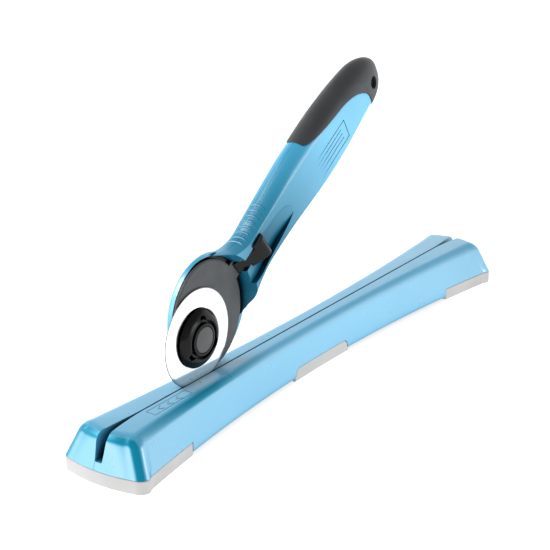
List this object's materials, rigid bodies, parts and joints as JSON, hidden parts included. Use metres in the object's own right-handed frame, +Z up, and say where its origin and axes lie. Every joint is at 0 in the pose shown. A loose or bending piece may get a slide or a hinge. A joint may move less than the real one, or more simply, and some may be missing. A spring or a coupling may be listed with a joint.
{
  "type": "rotary blade honing bar with cutter",
  "caption": "Long waisted bar with a narrow honing slot along its top and rubber feet; a hand-held rotary cutter with a round blade, sliding guard and hub nut stands in the slot.",
  "frame": {"origin": "middle of the underside of the middle rubber foot, where the bar meets the table, below the middle of the slot", "axes": "+X along the slot, from the end where the cutter stands towards the far end; +Y towards the side behind the blade; +Z up"},
  "size_m": [0.3064, 0.0442, 0.1415],
  "materials": {
    "blue_plastic": "pearl light-blue injection-moulded plastic, satin gloss",
    "foot_rubber": "light grey soft rubber, matte",
    "grip_rubber": "dark grey soft-touch rubber, matte",
    "guard_plastic": "dark grey moulded plastic, fine matte texture",
    "black_plastic": "black moulded plastic, gloss",
    "cap_plastic": "dark grey moulded plastic, satin",
    "blade_steel": "mirror-polished tool steel, ground edge",
    "fastener_steel": "zinc-plated steel, satin",
    "hidden_plastic": "dark grey structural plastic, matte",
    "hone_stone": "fine abrasive ceramic, matte"
  },
  "bodies": {
    "bar": {"bar_shell_left": "blue_plastic", "bar_shell_right": "blue_plastic", "closing_plate": "hidden_plastic", "foot_near": "foot_rubber", "foot_middle": "foot_rubber", "foot_far": "foot_rubber", "plate_screw_1": "fastener_steel", "plate_screw_2": "fastener_steel", "plate_screw_3": "fastener_steel", "plate_screw_4": "fastener_steel"},
    "shuttle": {"shuttle_carrier": "hidden_plastic", "hone_stone_left": "hone_stone", "hone_stone_right": "hone_stone", "stone_spring_left": "fastener_steel", "stone_spring_right": "fastener_steel"},
    "cutter": {"handle_shell_right": "blue_plastic", "handle_shell_left": "blue_plastic", "rubber_grip": "grip_rubber", "axle_bolt": "fastener_steel"},
    "blade": {"blade": "blade_steel"},
    "guard": {"blade_guard": "guard_plastic", "thumb_slider": "black_plastic"},
    "washer": {"spring_washer": "fastener_steel"},
    "nut": {"hub_nut": "black_plastic", "nut_cap": "cap_plastic"}
  },
  "joints": [
    {"name": "shuttle_travel", "type": "slide", "parent": "bar", "child": "shuttle", "axis": [1, 0, 0], "range_m": [-0.024, 0.194]},
    {"name": "cutter_lift", "type": "slide", "parent": "shuttle", "child": "cutter", "axis": [0, 0, 1], "range_m": [0, 0.03]},
    {"name": "blade_spin", "type": "hinge", "parent": "cutter", "child": "blade", "pos_m": [-0.0853, 0, 0.042], "axis": [0, 1, 0], "continuous": true},
    {"name": "guard_slide", "type": "slide", "parent": "cutter", "child": "guard", "axis": [-0.7771, 0, -0.6293], "range_m": [0, 0.0115]},
    {"name": "washer_shift", "type": "slide", "parent": "cutter", "child": "washer", "axis": [0, -1, 0], "range_m": [0, 0.003]},
    {"name": "nut_turn", "type": "hinge", "parent": "washer", "child": "nut", "pos_m": [-0.0853, 0, 0.042], "axis": [0, -1, 0], "range_deg": [0, 1080]}
  ],
  "couplings": [
    {"joint": "guard_slide", "follows": "cutter_lift", "ratio": 0.38333},
    {"joint": "washer_shift", "follows": "nut_turn", "m_per_rad": 0.00015915}
  ]
}
